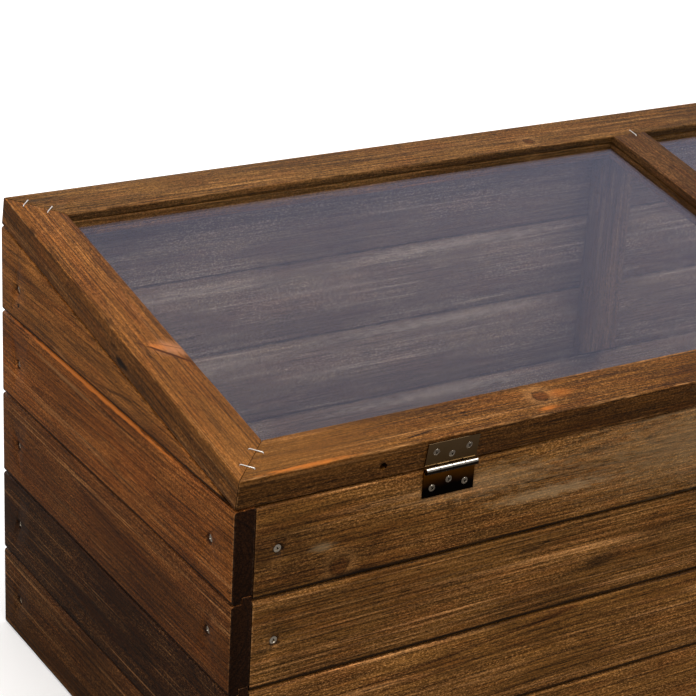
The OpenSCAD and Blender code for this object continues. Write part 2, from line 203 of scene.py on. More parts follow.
class Wires:
    """Adds nodes to one tree; each method returns the socket with its result."""

    def __init__(self, tree):
        self.tree = tree

    def plug(self, value, socket):
        if isinstance(value, bpy.types.NodeSocket):
            self.tree.links.new(value, socket)
        elif value is not None:
            socket.default_value = value

    def math(self, operation, *values, clamp=False):
        node = add(self.tree, "ShaderNodeMath", operation=operation, use_clamp=clamp)
        for value, socket in zip(values, node.inputs):
            self.plug(value, socket)
        return node.outputs[0]

    def vector(self, operation, *values):
        node = add(self.tree, "ShaderNodeVectorMath", operation=operation)
        for value, socket in zip(values, node.inputs):
            self.plug(value, socket)
        return node.outputs["Value" if operation in ("DOT_PRODUCT", "LENGTH") else "Vector"]

    def split(self, vector):
        node = add(self.tree, "ShaderNodeSeparateXYZ")
        self.plug(vector, node.inputs[0])
        return node.outputs[:3]

    def join(self, *parts):
        node = add(self.tree, "ShaderNodeCombineXYZ")
        for part, socket in zip(parts, node.inputs):
            self.plug(part, socket)
        return node.outputs[0]

    def ease(self, value, low, high, to_low=0.0, to_high=1.0):
        """A smooth step: to_low below low, to_high above high."""
        node = add(self.tree, "ShaderNodeMapRange", interpolation_type="SMOOTHSTEP")
        for part, socket in zip((value, low, high, to_low, to_high), node.inputs):
            self.plug(part, socket)
        return node.outputs[0]

    def mix(self, factor, a, b, blend="MIX"):
        node = add(self.tree, "ShaderNodeMix", data_type="RGBA", blend_type=blend)
        for part, socket in zip((factor, a, b), (node.inputs[0], node.inputs[6], node.inputs[7])):
            self.plug(part, socket)
        return node.outputs[2]

    def noise(self, vector, stretch, detail=2.0, rough=0.55, colour=False):
        """Noise whose cells are 1/stretch long on each axis."""
        node = add(self.tree, "ShaderNodeTexNoise")
        self.plug(self.vector("MULTIPLY", vector, stretch), node.inputs["Vector"])
        node.inputs["Scale"].default_value = 1.0
        node.inputs["Detail"].default_value = detail
        node.inputs["Roughness"].default_value = rough
        return node.outputs["Color" if colour else "Fac"]

    def use(self, group, **values):
        """Place a group; underscores in the names stand for spaces."""
        node = add(self.tree, "ShaderNodeGroup", node_tree=group)
        for name, value in values.items():
            self.plug(value, node.inputs[name.replace("_", " ")])
        return node.outputs


def new_group(name, inputs, outputs):
    """A node group: (group, wires, its inputs, its output node)."""
    group = bpy.data.node_groups.new(name, "ShaderNodeTree")
    for label, kind in inputs:
        group.interface.new_socket(label, in_out="INPUT", socket_type=SOCKETS[kind])
    for label, kind in outputs:
        group.interface.new_socket(label, in_out="OUTPUT", socket_type=SOCKETS[kind])
    entry, leave = add(group, "NodeGroupInput"), add(group, "NodeGroupOutput")
    return group, Wires(group), entry.outputs, leave.inputs


# %% [markdown]
# ## Where a point lies on its board
#
# Timber has a direction, so every wood pattern starts from three distances: along the board,
# across it and out through its thickness, all from the board's middle. The group takes the
# Object coordinates and two axes and gives those three. It also tells end grain from face
# grain, by how much the surface looks along the board.

# %% Board place
board_place, w, i, o = new_group(
    "board_place",
    [("Point", "vector"), ("Normal", "vector"), ("Middle", "vector"),
     ("Along", "vector"), ("Across", "vector")],
    [("Board", "vector"), ("End", "float"), ("Broad", "float")])
from_middle = w.vector("SUBTRACT", i["Point"], i["Middle"])
through = w.vector("CROSS_PRODUCT", i["Along"], i["Across"])
w.plug(w.join(w.vector("DOT_PRODUCT", from_middle, i["Along"]),
              w.vector("DOT_PRODUCT", from_middle, i["Across"]),
              w.vector("DOT_PRODUCT", from_middle, through)), o["Board"])
facing_end = w.math("ABSOLUTE", w.vector("DOT_PRODUCT", i["Normal"], i["Along"]))
w.plug(w.ease(facing_end, 0.62, 0.85), o["End"])
facing_out = w.math("ABSOLUTE", w.vector("DOT_PRODUCT", i["Normal"], through))
w.plug(w.ease(facing_out, 0.45, 0.9), o["Broad"])
print("group", board_place.name)

# %% [markdown]
# ## Knots
#
# A knot is a branch that the trunk grew around. On a face it is a dark oval with its own rings
# and a darker rim, and the grain beside it bends outward. So the group gives a push, which is
# added to the tree's rings further on, and masks for the heart, its rim and the glow around.

# %% Knots
knot, w, i, o = new_group(
    "knot", [("Board", "vector"), ("Knot", "vector"), ("Stretch", "float")],
    [("Push", "float"), ("Heart", "float"), ("Rim", "float"), ("Glow", "float"),
     ("Rings", "float")])
along, across, _ = w.split(i["Board"])
at_along, at_across, radius = w.split(i["Knot"])
size = w.math("MAXIMUM", radius, 0.00001)
uneven = w.noise(i["Board"], (110, 110, 40), 2.0)
dx = w.math("DIVIDE", w.math("SUBTRACT", along, at_along),
            w.math("MULTIPLY", size, i["Stretch"]))
dy = w.math("DIVIDE", w.math("SUBTRACT", across, at_across), size)
far = w.math("SQRT", w.math("ADD", w.math("MULTIPLY", dx, dx), w.math("MULTIPLY", dy, dy)))
far = w.math("ADD", far, w.math("MULTIPLY", w.math("SUBTRACT", uneven, 0.5), 0.7))
w.plug(w.math("MULTIPLY", w.ease(far, 0.4, 3.4, 1.0, 0.0), w.math("MULTIPLY", size, 0.9)),
       o["Push"])
w.plug(w.ease(far, 0.6, 1.12, 1.0, 0.0), o["Heart"])
w.plug(w.math("MULTIPLY", w.ease(far, 0.7, 1.0), w.ease(far, 1.0, 1.3, 1.0, 0.0)), o["Rim"])
w.plug(w.math("MULTIPLY", w.ease(far, 0.9, 1.3), w.ease(far, 1.3, 2.9, 1.0, 0.0)), o["Glow"])
w.plug(w.math("SINE", w.math("MULTIPLY", far, 21.0)), o["Rings"])
print("group", knot.name)

# %% [markdown]
# ## Marks
#
# Boards carry marks of their own: a pale scrape, a dark smudge of stain, a patch where the
# sawn fibres stand up. A mark is a soft oval at a place on the board, broken up by the grain
# so that it looks soaked in and not painted on.

# %% Marks
mark, w, i, o = new_group(
    "mark",
    [("Color", "color"), ("Board", "vector"), ("Place", "vector"), ("Reach", "vector"),
     ("Depth", "vector"), ("Tint", "color"), ("Amount", "float")], [("Color", "color")])
along, across, deep = w.split(i["Board"])
at_deep, reach_deep, _ = w.split(i["Depth"])
at_along, at_across, lean = w.split(i["Place"])
reach_along, reach_across, hard = w.split(i["Reach"])
dx = w.math("SUBTRACT", along, at_along)
dy = w.math("SUBTRACT", w.math("SUBTRACT", across, at_across), w.math("MULTIPLY", dx, lean))
dx, dy = w.math("DIVIDE", dx, reach_along), w.math("DIVIDE", dy, reach_across)
dz = w.math("DIVIDE", w.math("SUBTRACT", deep, at_deep), reach_deep)
far = w.vector("LENGTH", w.join(dx, dy, dz))
grainy = w.noise(i["Board"], (70, 420, 420), 3.0, 0.65)
far = w.math("ADD", far, w.math("MULTIPLY", w.math("SUBTRACT", grainy, 0.5), 1.5))
inside = w.ease(far, w.math("MULTIPLY", hard, 0.9), 1.0, 1.0, 0.0)
w.plug(w.mix(w.math("MULTIPLY", inside, i["Amount"], clamp=True), i["Color"], i["Tint"]),
       o["Color"])
print("group", mark.name)

# %% [markdown]
# ## Stained pine
#
# Pine shows its growth rings as lines along the board. Rather than painting lines, the group
# measures how far each point is from the tree's pith, an axis that runs nearly along the
# board, and turns that distance into rings: a slow pale early wood, then a sharp dark late
# wood. Tilting the axis makes the long pointed figures that flat-sawn boards have. Fine
# fibres, pale sapwood lines, sawn speckle and worn arrises with a painted highlight are
# added on top, with painted shade on the narrow faces and in the seams, and the same
# numbers give the bump its height. The next five cells all add to this one group.

# %% Pine: rings
pine, w, i, o = new_group(
    "stained_pine",
    [("Board", "vector"), ("End", "float"), ("Broad", "float"), ("Half", "vector"),
     ("Pith", "vector"), ("Drift", "vector"), ("Knot 1", "vector"), ("Knot 2", "vector"),
     ("Early", "color"), ("Late", "color"), ("Pale", "color"), ("Grain", "float"),
     ("Streaks", "float"), ("Sawn", "float"), ("Wear", "float"), ("Sides", "float"),
     ("Dirt", "float"), ("Contrast", "float")],
    [("Color", "color"), ("Roughness", "float"), ("Height", "float")])
pith_across, pith_deep, ring_wide = w.split(i["Pith"])
drift_across, drift_deep, seed = w.split(i["Drift"])
place = w.vector("ADD", i["Board"], w.join(w.math("MULTIPLY", seed, 3.7), seed, 0.0))
along, across, deep = w.split(i["Board"])
knot_1 = w.use(knot, Board=i["Board"], Knot=i["Knot 1"], Stretch=1.0)
knot_2 = w.use(knot, Board=i["Board"], Knot=i["Knot 2"], Stretch=1.2)

sway = w.split(w.noise(place, (1.6, 5.0, 5.0), 1.0, colour=True))
ripple = w.math("SUBTRACT", w.noise(place, (9.0, 60.0, 60.0), 2.0), 0.5)
from_pith = []
for part, pith, drift, slow in ((across, pith_across, drift_across, sway[0]),
                                (deep, pith_deep, drift_deep, sway[1])):
    straight = w.math("ADD", w.math("SUBTRACT", part, pith), w.math("MULTIPLY", along, drift))
    from_pith.append(w.math("ADD", straight,
                            w.math("MULTIPLY", w.math("SUBTRACT", slow, 0.5), 0.03)))
radius = w.vector("LENGTH", w.join(from_pith[0], from_pith[1], 0.0))
radius = w.math("ADD", radius, w.math("MULTIPLY", ripple, 0.0018))
radius = w.math("ADD", radius, w.math("ADD", knot_1["Push"], knot_2["Push"]))
years = w.math("ADD", w.math("DIVIDE", radius, ring_wide), w.math("MULTIPLY", w.noise(
    w.join(radius, 0.0, seed), (140, 1, 9), 1.0), 1.6))
season = w.math("FRACT", years)
late = w.math("MULTIPLY", w.ease(season, 0.5, 0.9), w.ease(season, 0.92, 1.0, 1.0, 0.0))
luck = add(w.tree, "ShaderNodeTexWhiteNoise", noise_dimensions="1D")
w.plug(w.math("FLOOR", years), luck.inputs["W"])
late = w.math("MULTIPLY", late, w.ease(luck.outputs["Value"], 0.1, 0.9, 0.25, 1.0))

# %% [markdown]
# ### Fibres and stain
#
# Seen close, the colour comes from many sizes of pattern at once. Each noise here is
# stretched along the board: clouds where the stain took unevenly, reddish and golden
# blotches, hair-thin fibres, pores, and a sawn speckle where the fibres stand up. The light
# and dark ones are multiplied together into one shade.

# %% Pine: fibres
cloud = w.noise(place, (5.0, 26, 26), 3.0, 0.6)
blotch = w.noise(place, (14, 60, 60), 4.0, 0.65)
fibre = w.noise(place, (8, 520, 520), 5.0, 0.8)
speck = w.noise(place, (420, 760, 760), 2.0, 0.9)
ringed = w.mix(w.math("MULTIPLY", late, i["Grain"], clamp=True), i["Early"], i["Late"])
line = w.math("MULTIPLY", w.ease(w.noise(place, (2.6, 260, 260), 2.0, 0.6), 0.58, 0.66),
              w.ease(cloud, 0.38, 0.6))
ringed = w.mix(w.math("MULTIPLY", line, i["Streaks"], clamp=True), ringed, i["Pale"])
rough_patch = w.math("MULTIPLY", w.ease(cloud, 0.38, 0.58), i["Sawn"])
fluff = w.math("MULTIPLY", w.ease(speck, 0.5, 0.66), rough_patch, clamp=True)
ringed = w.mix(fluff, ringed, i["Pale"])
ringed = w.mix(w.ease(blotch, 0.42, 0.66, 0.0, 0.35), ringed, w.mix(
    1.0, ringed, (0.80, 0.52, 0.36, 1), "MULTIPLY"))
ringed = w.mix(w.ease(blotch, 0.30, 0.46, 0.4, 0.0), ringed, w.mix(
    1.0, ringed, (1.28, 1.22, 1.0, 1), "MULTIPLY"))
shade = w.math("MULTIPLY", w.ease(fibre, 0.34, 0.66, 0.52, 1.48),
               w.math("MULTIPLY", w.ease(cloud, 0.3, 0.7, 0.86, 1.14),
                      w.ease(speck, 0.3, 0.7, 0.64, 1.36)))
pit = w.ease(w.noise(place, (70, 1300, 1300), 1.0), 0.64, 0.7)
shade = w.math("MULTIPLY", shade, w.math("SUBTRACT", 1.0, w.math("MULTIPLY", pit, 0.6)))
shade = w.math("MULTIPLY", w.math("SUBTRACT", shade, 1.0), i["Contrast"])
shade = w.math("MAXIMUM", w.math("ADD", shade, 1.0), 0.08)
# Faces that don't look out through the board's thickness are darkened: painted shade on the
# narrow faces.
shade = w.math("MULTIPLY", shade, w.math("ADD", i["Broad"], w.math(
    "MULTIPLY", w.math("SUBTRACT", 1.0, i["Broad"]), i["Sides"])))


def scaled(colour, amount):
    """A colour made lighter or darker by a number."""
    result = w.vector("SCALE", colour)
    w.plug(amount, result.node.inputs["Scale"])
    return result


toned = scaled(ringed, shade)

# %% [markdown]
# ### Knots, worn arrises with a painted highlight, and painted shade in the seams
#
# A knot lies over the grain: a glow, then the ringed heart, then a broken dark rim. Near an
# arris, where two faces are both close, the stain is rubbed off in places, and the pale colour
# there is also a painted highlight where the rounded arris catches the light. Under each wall
# board's lower edge the seam is painted dark: painted shade in the groove.

# %% Pine: knots
for each in (knot_1, knot_2):
    toned = w.mix(w.math("MULTIPLY", each["Glow"], 0.45), toned,
                  scaled(w.mix(0.45, i["Early"], i["Pale"]), shade))
    heart = w.mix(w.ease(each["Rings"], -1.0, 1.0, 0.55, 0.85), i["Early"],
                  (0.075, 0.020, 0.005, 1))
    toned = w.mix(w.math("MULTIPLY", each["Heart"], 0.85), toned, scaled(heart, shade))
    toned = w.mix(w.math("MULTIPLY", each["Rim"], w.ease(blotch, 0.35, 0.6, 0.0, 0.5)),
                  toned, scaled(i["Late"], 0.35))

# %% Pine: arrises and seams
gaps = w.split(w.vector("SUBTRACT", i["Half"], w.vector("ABSOLUTE", i["Board"])))
nearest = w.math("MINIMUM", w.math("ADD", gaps[1], gaps[2]),
                 w.math("MINIMUM", w.math("ADD", gaps[0], gaps[2]),
                        w.math("ADD", gaps[0], gaps[1])))
bite = w.noise(place, (40, 300, 300), 4.0, 0.75)
# Pale colour along the arrises: partly stain rubbed off, partly a painted highlight where the
# rounded arris catches the light.
worn_off = w.math("MULTIPLY", w.ease(w.math("ADD", nearest, w.math("MULTIPLY", bite, 0.008)),
                                     0.0036, 0.0056, 1.0, 0.0), i["Wear"], clamp=True)
toned = w.mix(worn_off, toned, scaled(i["Pale"], w.ease(fibre, 0.34, 0.66, 0.7, 1.2)))

half_across = w.split(i["Half"])[1]
above_seam = w.math("ADD", across, half_across)
# Under each wall board's lower edge the seam is painted dark: painted shade.
dirt = w.math("MULTIPLY", w.ease(above_seam, 0.0031, 0.0044, 1.0, 0.0), i["Dirt"])
toned = w.mix(dirt, toned, scaled(toned, 0.10))

# %% [markdown]
# ### End grain, gloss and height
#
# End grain drinks the stain and goes near black, with a greyed rim. It is also the dullest
# part, and the late wood and the fibres stand a little proud, which the bump shows.

# %% Pine: end grain and outputs
cut_fibre = w.mix(w.ease(speck, 0.35, 0.75), (0.008, 0.0022, 0.0004, 1),
                  (0.040, 0.014, 0.004, 1))
cut_fibre = w.mix(w.math("MULTIPLY", late, 0.6), cut_fibre, (0.004, 0.002, 0.001, 1))
cut_fibre = w.mix(w.math("MULTIPLY", worn_off, 0.45), cut_fibre, (0.13, 0.09, 0.06, 1))
w.plug(w.mix(i["End"], toned, cut_fibre), o["Color"])
rough = w.math("ADD", w.ease(fibre, 0.3, 0.7, 0.44, 0.62), w.math("MULTIPLY", rough_patch, 0.2))
w.plug(w.math("ADD", rough, w.math("MULTIPLY", i["End"], 0.4), clamp=True), o["Roughness"])
height = w.math("ADD", w.math("MULTIPLY", fibre, 0.8), w.math("MULTIPLY", late, 0.15))
height = w.math("ADD", height, w.math("MULTIPLY", speck, w.math("ADD", i["Sawn"], 0.15)))
w.plug(w.math("SUBTRACT", height, w.math(
    "MULTIPLY", w.math("ADD", knot_1["Rim"], knot_2["Rim"]), 0.4)), o["Height"])
print("group", pine.name, len(pine.nodes), "nodes")

# %% [markdown]
# ## One timber for every board
#
# No two boards are cut from the same place in the tree, so each gets its own pith, drift,
# ring width and seed. The unseen ones take theirs from seeded random numbers; the boards that
# show are given one by one, with their knots and marks at measured places in the frame.

# %% Stains
FRONT_AXES = (Vector((1, 0, 0)), Vector((0, 0, 1)))
SIDE_AXES = (Vector((0, 1, 0)), Vector((0, 0, 1)))
UPRIGHT_AXES = (Vector((0, 0, 1)), Vector((1, 0, 0)))
RAIL_AXES = (Vector((1, 0, 0)), UP_SLOPE)
SLOPE_AXES = (UP_SLOPE, Vector((1, 0, 0)))


def stain(r, g, b):
    """A colour given as 0 to 255 display values, as the linear colour a shader wants."""
    lin = [((c / 255 + 0.055) / 1.055) ** 2.4 if c > 10 else c / 255 / 12.92 for c in (r, g, b)]
    return (*lin, 1.0)


HONEY, WALNUT, OLIVE = stain(132, 80, 30), stain(62, 32, 8), stain(122, 82, 36)
SAPWOOD, BEIGE, SMUDGE = stain(196, 142, 88), stain(196, 166, 124), stain(26, 13, 5)
ORANGE, RUSSET, AMBER = stain(214, 122, 46), stain(66, 30, 10), stain(148, 98, 44)
PINKISH, GREYED = stain(206, 142, 100), stain(186, 172, 156)
print("honey stain", [round(part, 4) for part in HONEY[:3]])

# %% [markdown]
# ### Where the screws are sunk
#
# The crater round each sunk screw is painted dark: painted shade in the crater, with the
# darker torn wood of its wall. These are the craters of the front and left walls: one near
# each end of a board, a third in the middle of the front boards above the lowest, and a
# single one in the wedge board.

# %% Sunk screws
ANY = 1.0
IN_FROM_END, IN_FROM_FRONT, IN_FROM_BACK = 0.041, 0.0395, 0.036
CRATER = 0.0062


def on_front(in_from_left, z):
    """A place on the front wall's face."""
    return Vector((in_from_left - HALF_LONG, -HALF_DEEP, z))


def on_side(in_from_front, z):
    """A place on the left wall's face."""
    return Vector((-HALF_LONG, in_from_front - HALF_DEEP, z))


at_back = 2 * HALF_DEEP - IN_FROM_BACK
SUNK = {"left_wedge_board": [on_side(at_back, 0.365)]}
for row in (1, 2, 3, 4):
    level = (row - 0.5) * BOARD_COVER
    along_row = (IN_FROM_END, 2 * HALF_LONG - IN_FROM_END, HALF_LONG)[:3 if row > 1 else 2]
    SUNK[f"front_board_{row}"] = [on_front(x, level) for x in along_row]
    SUNK[f"left_board_{row}"] = [on_side(y, level) for y in (IN_FROM_FRONT, at_back)]
print(sum(len(places) for places in SUNK.values()), "craters to darken")

# %% Timber
rng = random.Random(7)
TIMBERS = {}


def extent(name, axis):
    """The lowest and highest distance of a node's points along an axis."""
    found = [v.co.dot(axis) for v in NODES[name].data.vertices]
    return min(found), max(found)


# Its sides number darkens the narrow faces: painted shade.
def timber(name, axes, early=HONEY, late=WALNUT, pale=SAPWOOD, pith=None, drift=None,
           knots=(), grain=0.75, streaks=0.3, sawn=0.15, wear=0.5, sides=1.0,
           contrast=1.35, marks=()):
    """The stained pine of one board. Knots are (place, radius); marks are
    (tint, place, reach along, across and deep, lean, hardness, amount)."""
    # Wall boards get painted shade along the seam under their lower edge.
    dirt = 0.95 if name.startswith(("front_board", "left_", "right_")) else 0.0
    random_pith = (rng.uniform(-0.03, 0.05), rng.choice((-1, 1)) * rng.uniform(0.025, 0.07),
                   rng.uniform(0.0028, 0.0042))
    random_drift = (rng.uniform(-0.03, 0.03), rng.uniform(-0.02, 0.02), rng.uniform(0, 40))
    along, across = axes
    through = along.cross(across)
    spans = [extent(name, axis) for axis in (along, across, through)]
    middle = sum((axis * (low + high) / 2
                  for axis, (low, high) in zip((along, across, through), spans)), Vector())
    half = [(high - low) / 2 for low, high in spans]
    material, tree, out = node_material("pine_" + name)
    wires = Wires(tree)
    where = add(tree, "ShaderNodeTexCoord")
    board = wires.use(board_place, Point=where.outputs["Object"],
                      Normal=where.outputs["Normal"], Middle=middle, Along=along,
                      Across=across)

    def on_board(point):
        return [(point - middle).dot(axis) for axis in (along, across, through)]

    placed = [(*on_board(point)[:2], size) for point, size in knots] + [(9, 9, 0)] * 2
    wood = wires.use(
        pine, Board=board["Board"], End=board["End"], Broad=board["Broad"], Half=half,
        Pith=pith or random_pith, Drift=drift or random_drift, Knot_1=placed[0],
        Knot_2=placed[1], Early=early, Late=late, Pale=pale, Grain=grain, Streaks=streaks,
        Sawn=sawn, Wear=wear, Sides=sides, Dirt=dirt, Contrast=contrast)
    colour = wood["Color"]
    # Each sunk screw's crater is painted dark: painted shade in the crater, with darker torn
    # wood.
    pooled = [(SMUDGE, point, (CRATER, CRATER, ANY), 0.0, 0.5, 0.9)
              for point in SUNK.get(name, ())]
    for tint, point, reach, lean, hard, amount in list(marks) + pooled:
        spot = on_board(point)
        colour = wires.use(mark, Color=colour, Board=board["Board"],
                           Place=(spot[0], spot[1], lean), Reach=(reach[0], reach[1], hard),
                           Depth=(spot[2], reach[2], 0), Tint=tint, Amount=amount)["Color"]
    shader = add(tree, "ShaderNodeBsdfPrincipled")
    shader.inputs["Specular IOR Level"].default_value = 0.12
    wires.plug(colour, shader.inputs["Base Color"])
    wires.plug(wood["Roughness"], shader.inputs["Roughness"])
    bump = add(tree, "ShaderNodeBump")
    bump.inputs["Strength"].default_value = 0.6
    bump.inputs["Distance"].default_value = 0.0006
    wires.plug(wood["Height"], bump.inputs["Height"])
    wires.plug(bump.outputs[0], shader.inputs["Normal"])
    wires.plug(shader.outputs[0], out.inputs["Surface"])
    TIMBERS[name] = (material, along)


# %% [markdown]
# ## The lid's timber
#
# The rails are planed sticks with fine straight grain, so their pith is far off to one side
# and their rings are narrow. Their narrow faces are painted darker than their broad faces, as
# painted shade, and a soft amber patch at the near corner of the left and front rails is a
# painted pool of light. A branch crosses the left rail lengthwise and fans out in pale rays
# with a dark line below, and comes out at the lower edge of its outer face as a black notch;
# the front rail has a round red-brown knot.

# %% Lid timber
TOP = RAIL_THICK
timber("lid_left_rail", SLOPE_AXES, pith=(0.11, 0.05, 0.0021), drift=(0.01, 0.02, 3.1),
       early=stain(122, 76, 32), streaks=0.3, wear=0.55, sides=0.7, grain=0.6, marks=[
           # A soft amber patch at the near corner: a painted pool of light.
           (AMBER, on_lid(0.02, 0.02, TOP), (0.20, 0.06, 0.02), 0.0, 0.0, 0.3),
           (PINKISH, on_lid(0.036, 0.184, TOP), (0.019, 0.022, 0.02), -0.5, 0.2, 0.5),
           (ORANGE, on_lid(0.024, 0.190, TOP), (0.010, 0.010, 0.02), -0.6, 0.1, 0.5),
           (RUSSET, on_lid(0.0275, 0.179, TOP), (0.024, 0.0024, 0.02), -0.79, 0.6, 0.9),
           (RUSSET, on_lid(0.034, 0.188, TOP), (0.013, 0.0013, 0.02), -1.3, 0.4, 0.6),
           (SMUDGE, on_lid(0.000, 0.205, 0.007), (0.013, 0.009, 0.004), 0.0, 0.5, 0.95),
           (SMUDGE, on_lid(0.001, 0.222, 0.014), (0.016, 0.009, 0.003), 0.0, 0.2, 0.7),
           (SMUDGE, on_lid(0.000, 0.395, TOP), (0.012, 0.004, 0.004), 0.0, 0.3, 0.7),
           (SMUDGE, on_lid(0.001, 0.236, TOP), (0.010, 0.003, 0.003), 0.0, 0.3, 0.6),
           *[(SMUDGE, on_lid(0.001, up, TOP), (long, 0.003, 0.003), 0.0, 0.2, 0.6)
             for up, long in ((0.300, 0.016), (0.352, 0.014))]])
timber("lid_front_rail", RAIL_AXES, pith=(-0.12, 0.06, 0.0022), drift=(-0.008, 0.02, 11.0),
       early=stain(99, 62, 22), late=stain(56, 32, 9),
       knots=[(on_lid(0.2996, 0.0252, TOP), 0.0068)], streaks=0.3, wear=0.75, sides=0.78,
       grain=0.6, marks=[
           # A soft amber patch at the near corner: a painted pool of light.
           (AMBER, on_lid(0.07, 0.02, TOP), (0.15, 0.06, 0.02), 0.0, 0.0, 0.4),
           (ORANGE, on_lid(0.318, 0.024, TOP), (0.020, 0.008, 0.02), 0.0, 0.1, 0.35),
           (BEIGE, on_lid(0.600, 0.000, 0.020), (0.170, 0.005, 0.014), 0.0, 0.0, 0.5),
           (ORANGE, on_lid(0.296, 0.008, TOP), (0.016, 0.004, 0.01), 0.0, 0.1, 0.6),
           (SMUDGE, on_lid(0.168, 0.0095, TOP), (0.020, 0.0011, 0.01), 0.12, 0.5, 0.9),
           (ORANGE, on_lid(0.060, 0.002, TOP), (0.060, 0.003, 0.004), 0.0, 0.2, 0.6)])
timber("lid_back_rail", RAIL_AXES, pith=(0.10, 0.08, 0.0024), drift=(0.006, -0.02, 23.0),
       early=stain(112, 78, 40), late=stain(56, 34, 12), streaks=0.25, wear=0.45,
       sides=0.7, grain=0.45, knots=[(on_lid(0.564, 0.425, TOP), 0.006)])
timber("lid_middle_bar", SLOPE_AXES, pith=(0.09, 0.07, 0.0024), drift=(0.01, 0.01, 31.0),
       early=stain(88, 58, 30), late=stain(52, 32, 14), streaks=0.1, wear=0.35, sides=0.8)
timber("lid_right_rail", SLOPE_AXES, pith=(-0.1, 0.06, 0.0026), drift=(0.012, 0.01, 17.0),
       sides=0.7)
print("lid timbers:", len(TIMBERS))

# %% [markdown]
# ## The walls' timber
#
# The wall boards are wider and sawn flatter, so their rings open into long figures. They took
# the stain unevenly, with pale sawn patches, and their cut ends drank it and went near black.

# %% Front wall timber
timber("front_board_4", FRONT_AXES, early=OLIVE, pith=(0.018, 0.034, 0.0040),
       drift=(0.022, 0.012, 5.0), streaks=0.5, sawn=0.4, wear=0.4,
       knots=[(on_front(0.098, 0.262), 0.008)], marks=[
           (BEIGE, on_front(0.081, 0.283), (0.016, 0.006, ANY), 0.0, 0.1, 0.45),
           (SMUDGE, on_front(0.118, 0.2535), (0.034, 0.006, ANY), 0.05, 0.1, 0.75),
           (BEIGE, on_front(0.305, 0.284), (0.085, 0.008, ANY), 0.0, 0.3, 0.45),
           (BEIGE, on_front(0.240, 0.308), (0.110, 0.020, ANY), 0.0, 0.0, 0.3),
           (SMUDGE, on_front(0.200, 0.293), (0.014, 0.006, ANY), 0.0, 0.4, 0.4),
           (SMUDGE, on_front(0.060, 0.262), (0.060, 0.018, ANY), 0.0, 0.0, 0.35),
           (BEIGE, on_front(0.500, 0.300), (0.260, 0.060, ANY), 0.0, 0.0, 0.35),
           (SMUDGE, on_front(0.030, 0.290), (0.090, 0.050, ANY), 0.0, 0.0, 0.55)])
timber("front_board_3", FRONT_AXES, early=stain(108, 72, 30), late=SAPWOOD,
       pith=(0.13, 0.045, 0.0052), drift=(-0.01, 0.016, 9.0), streaks=0.6, sawn=0.3,
       wear=0.75, grain=0.5, marks=[
           (SMUDGE, on_front(0.368, 0.203), (0.032, 0.009, ANY), 0.1, 0.2, 0.65),
           (SMUDGE, on_front(0.290, 0.232), (0.020, 0.006, ANY), 0.1, 0.2, 0.45)])
for row in (2, 1):
    timber(f"front_board_{row}", FRONT_AXES, early=OLIVE, streaks=0.5, sawn=0.4)

# %% [markdown]
# ### The side walls
#
# The left wall's boards go from warm at the top to nearly black at the second row. The top
# row's upper arris carries a bright orange line, a painted highlight where its rounded edge
# catches the light, and the wedge board has a long dark ring line, a pale scratch and a
# small nail hole below its screw.

# %% Side wall timber
timber("left_wedge_board", SIDE_AXES, early=stain(142, 90, 42),
       pith=(0.012, -0.04, 0.0044), drift=(-0.03, -0.01, 2.0), streaks=0.15, sawn=0.1,
       wear=0.5, grain=0.5, marks=[
           (SMUDGE, on_side(0.205, 0.347), (0.060, 0.0018, ANY), -0.17, 0.3, 0.6),
           (SAPWOOD, on_side(0.319, 0.338), (0.024, 0.0018, ANY), 0.1, 0.3, 0.5),
           (SMUDGE, on_side(0.412, 0.350), (0.0024, 0.0024, ANY), 0.0, 0.7, 1.0)])
timber("left_board_4", SIDE_AXES, early=stain(136, 80, 34),
       pith=(-0.01, -0.036, 0.0044), drift=(0.02, 0.014, 6.0), streaks=0.35, sawn=0.2,
       wear=0.5, grain=0.6, marks=[
           # The bright orange line along the top arris is a painted highlight.
           (ORANGE, on_side(0.260, 0.3305), (0.200, 0.0022, ANY), 0.0, 0.5, 0.85),
           (SAPWOOD, on_side(0.315, 0.318), (0.090, 0.003, ANY), 0.02, 0.2, 0.4),
           (SMUDGE, on_side(0.230, 0.321), (0.050, 0.0025, ANY), 0.05, 0.3, 0.6)])
timber("left_board_3", SIDE_AXES, early=stain(100, 58, 24), pith=(0.02, -0.05, 0.004),
       drift=(0.01, 0.02, 12.0), wear=0.35, grain=0.6)
for row, early, late in ((2, stain(54, 29, 10), stain(30, 16, 6)),
                         (1, stain(76, 45, 18), stain(44, 25, 9))):
    timber(f"left_board_{row}", SIDE_AXES, early=early, late=late, wear=0.2)
for row in (1, 2, 3, 4):
    timber(f"right_board_{row}", SIDE_AXES, early=HONEY if row > 2 else OLIVE)
timber("right_wedge_board", SIDE_AXES)

# %% [markdown]
# ### The back wall, posts and battens
#
# These are seen through the panes, where the stain has greyed. The laps put the inner seams
# a little above the outer ones, with pale sapwood just under each and a dark line of painted
# shade along each seam.

# %% Back wall, post and batten timber
INNER_SEAM_UP = 0.0057
for row in (1, 2, 3, 4, 5):
    seam = row * BOARD_COVER + INNER_SEAM_UP
    timber(f"back_board_{row}", FRONT_AXES, streaks=0.3, sawn=0.35, grain=0.3, wear=0.0,
           contrast=0.85, pith=(0.24, 0.12, 0.0024), drift=(0.01, 0.01, 7.0 * row),
           early=stain(106, 88, 72), late=stain(82, 64, 52), pale=GREYED, marks=[
               (GREYED, on_front(0.50, seam - 0.009), (0.22, 0.008, ANY), 0.0, 0.1, 0.5),
               (GREYED, on_front(0.19, seam - 0.014), (0.12, 0.010, ANY), 0.0, 0.0, 0.4),
               # Dark lines along the inner seams: painted shade.
               *[(SMUDGE, on_front(0.68, seam - down), (3.0, tall, ANY), 0.0, 0.3, 0.8)
                 for down, tall in ((0, 0.0026), (BOARD_COVER, 0.0022))]])
